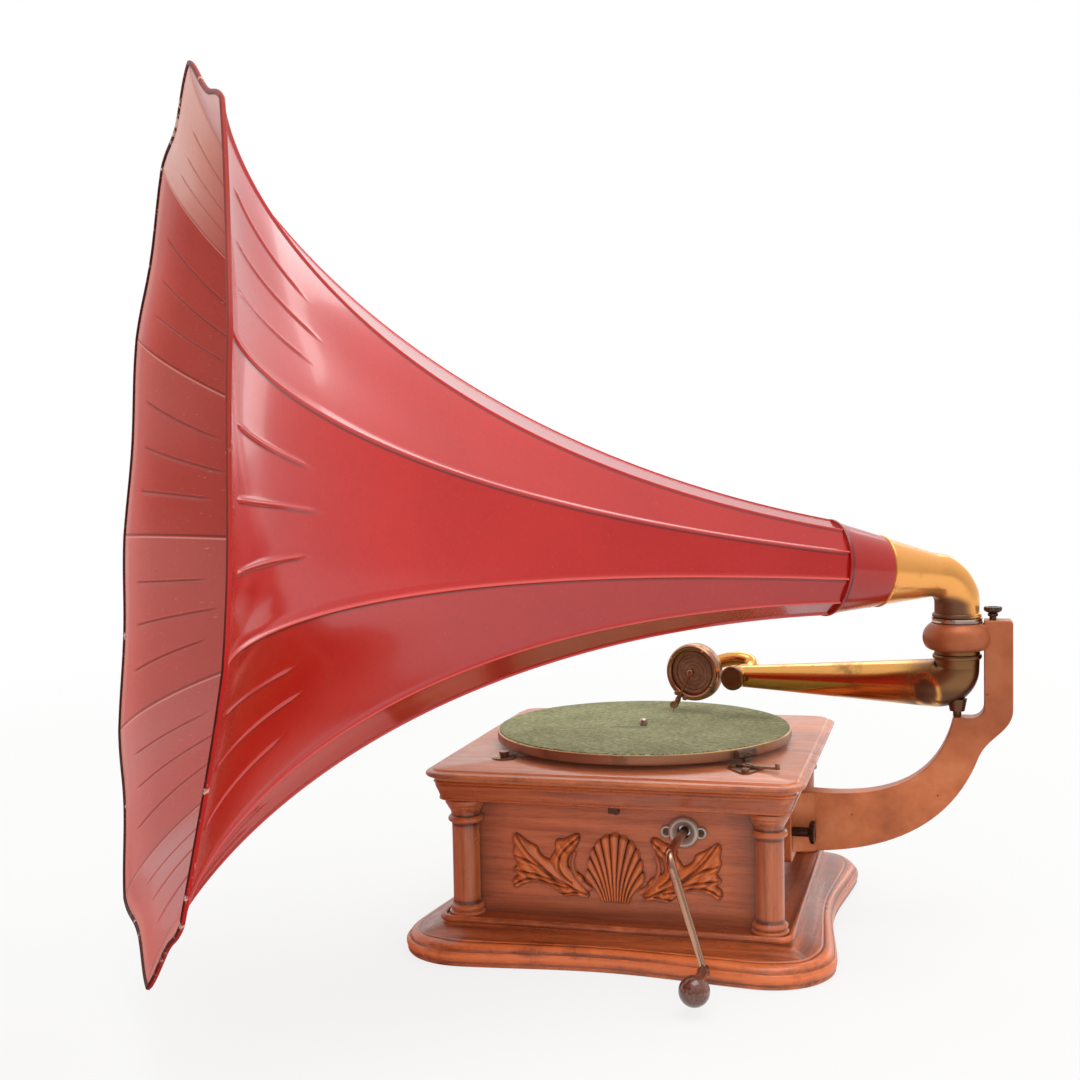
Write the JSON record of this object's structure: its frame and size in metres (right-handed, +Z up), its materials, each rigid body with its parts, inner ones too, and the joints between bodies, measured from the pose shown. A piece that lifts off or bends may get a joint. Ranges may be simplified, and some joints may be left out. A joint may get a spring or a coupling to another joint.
{
  "type": "horn gramophone",
  "caption": "Tabletop gramophone: spring motor in a moulded wooden case, felt turntable, hand crank, side bracket, swinging tone arm with sound box, and a fluted petal horn.",
  "frame": {"origin": "centre of the square case, on the turntable's axis, at the floor", "axes": "+Z up along the turntable spindle, +X towards the horn bracket, -Y towards the crank"},
  "size_m": [0.735, 0.7791, 0.6617],
  "materials": {
    "case_wood": "varnished, red-brown, worn at the edges",
    "carved_wood": "varnished, darker in the hollows",
    "board_wood": "plain softwood",
    "motor_steel": "milled, lightly oiled",
    "bright_steel": "polished",
    "gear_brass": "machined",
    "spring_steel": "blued",
    "platter_metal": "copper plated, worn",
    "felt": "worn green felt",
    "nickel": "nickel plated, tarnished",
    "dark_screw": "oxidised",
    "knob_wood": "dark gloss lacquer",
    "bracket_paint": "copper-coloured paint",
    "horn_brass": "polished with dark patches",
    "horn_paint": "gloss red outside",
    "rim_wire": "dark red",
    "brake_brass": "tarnished",
    "pad_leather": "worn",
    "box_bronze": "dark bronze",
    "diaphragm": "oxidised",
    "needle_steel": "polished"
  },
  "bodies": {
    "case": {"plinth": "case_wood", "bottom_board": "board_wood", "crank_side_panel": "case_wood", "far_side_panel": "case_wood", "horn_side_panel": "case_wood", "bracket_side_panel": "case_wood", "corner_columns": "case_wood", "cornice": "case_wood", "lid_board": "case_wood", "carved_shell": "carved_wood", "carved_leaves": "carved_wood", "lid_catch": "brake_brass", "case_screws": "dark_screw", "motor_plate": "motor_steel", "motor_base_plate": "motor_steel", "motor_pillars": "bright_steel", "winding_bearing": "motor_steel", "governor_bearings": "motor_steel", "speed_dial": "brake_brass", "brake_base": "brake_brass", "crank_escutcheon": "nickel", "escutcheon_screws": "dark_screw", "bracket": "bracket_paint"},
    "turntable": {"turntable_platter": "platter_metal", "turntable_felt": "felt", "spindle": "bright_steel", "spindle_pinion": "gear_brass", "governor_drive_wheel": "gear_brass"},
    "intermediate": {"intermediate_wheel": "gear_brass", "intermediate_arbor": "bright_steel"},
    "barrel": {"spring_barrel": "gear_brass", "barrel_cover": "gear_brass", "mainspring": "spring_steel"},
    "winding_arbor": {"barrel_arbor": "bright_steel", "ratchet_wheel": "bright_steel", "crown_wheel": "gear_brass"},
    "crank": {"winding_shaft": "bright_steel", "crank_rod": "nickel"},
    "knob": {"crank_knob": "knob_wood"},
    "pawl": {"ratchet_pawl": "bright_steel"},
    "governor": {"governor_shaft": "bright_steel", "governor_weights": "gear_brass", "governor_disc": "gear_brass"},
    "speed_control": {"speed_knob": "brake_brass"},
    "speed_arm": {"speed_lever": "motor_steel"},
    "brake": {"brake_lever": "brake_brass", "brake_pad": "pad_leather"},
    "side_screw": {"bracket_thumbscrew": "dark_screw"},
    "lock_screw": {"horn_lock_screw": "dark_screw"},
    "horn": {"horn_elbow": "horn_brass", "horn_collar": "nickel", "horn_neck": "horn_paint", "horn_petals": "horn_paint", "horn_rim_wire": "rim_wire"},
    "arm": {"tone_arm": "horn_brass"},
    "reproducer": {"crook": "horn_brass", "sound_box": "box_bronze", "diaphragm": "diaphragm", "stylus_bar": "box_bronze", "needle": "needle_steel"}
  },
  "joints": [
    {"name": "turntable_spin", "type": "hinge", "parent": "case", "child": "turntable", "pos_m": [0, 0, 0.15], "axis": [0, 0, 1], "continuous": true},
    {"name": "intermediate_spin", "type": "hinge", "parent": "case", "child": "intermediate", "pos_m": [0.01821, 0.03106, 0.09], "axis": [0, 0, 1], "continuous": true},
    {"name": "barrel_spin", "type": "hinge", "parent": "case", "child": "barrel", "pos_m": [0.0555, -0.008, 0.07], "axis": [0, 0, 1], "continuous": true},
    {"name": "governor_spin", "type": "hinge", "parent": "case", "child": "governor", "pos_m": [-0.0202, 0, 0.118], "axis": [0, 1, 0], "continuous": true},
    {"name": "crank_turn", "type": "hinge", "parent": "case", "child": "crank", "pos_m": [0.0555, -0.117, 0.1025], "axis": [0, 1, 0], "continuous": true},
    {"name": "arbor_wind", "type": "hinge", "parent": "case", "child": "winding_arbor", "pos_m": [0.0555, -0.008, 0.09], "axis": [0, 0, 1], "continuous": true},
    {"name": "crank_knob_spin", "type": "hinge", "parent": "crank", "child": "knob", "pos_m": [0.08259, -0.19, 0.01814], "axis": [0, 1, 0], "continuous": true},
    {"name": "pawl_lift", "type": "hinge", "parent": "case", "child": "pawl", "pos_m": [0.07545, -0.0212, 0.05], "axis": [0, 0, 1], "range_deg": [-12, 0]},
    {"name": "speed_knob_turn", "type": "hinge", "parent": "case", "child": "speed_control", "pos_m": [-0.099, -0.0925, 0.15], "axis": [0, 0, 1], "range_deg": [-60.5, 0.5]},
    {"name": "speed_lever_swing", "type": "hinge", "parent": "case", "child": "speed_arm", "pos_m": [-0.06, -0.08, 0.1175], "axis": [0, 0, 1], "range_deg": [-4, 0]},
    {"name": "brake_swing", "type": "hinge", "parent": "case", "child": "brake", "pos_m": [0.104, -0.101, 0.153], "axis": [0, 0, 1], "range_deg": [-20, 0]},
    {"name": "side_screw_turn", "type": "hinge", "parent": "case", "child": "side_screw", "pos_m": [0.13, -0.024, 0.083], "axis": [1, 0, 0], "range_deg": [-180, 180]},
    {"name": "lock_screw_turn", "type": "hinge", "parent": "case", "child": "lock_screw", "pos_m": [0.2912, 0, 0.26], "axis": [0, 0, 1], "range_deg": [-180, 180]},
    {"name": "horn_swivel", "type": "hinge", "parent": "case", "child": "horn", "pos_m": [0.263, 0, 0.26], "axis": [0, 0, 1], "range_deg": [-95, 25]},
    {"name": "tone_arm_swing", "type": "hinge", "parent": "case", "child": "arm", "pos_m": [0.263, 0, 0.2063], "axis": [0, 0, 1], "range_deg": [-7, 55]},
    {"name": "reproducer_lift", "type": "hinge", "parent": "arm", "child": "reproducer", "pos_m": [0.07556, 0.05731, 0.20013], "axis": [0.2924, 0.9563, 0], "range_deg": [0, 60]}
  ],
  "couplings": [
    {"joint": "intermediate_spin", "follows": "turntable_spin", "ratio": -0.2},
    {"joint": "barrel_spin", "follows": "turntable_spin", "ratio": 0.04},
    {"joint": "governor_spin", "follows": "turntable_spin", "ratio": 10},
    {"joint": "arbor_wind", "follows": "crank_turn", "ratio": -0.375},
    {"joint": "speed_knob_turn", "follows": "speed_lever_swing", "ratio": 15}
  ]
}
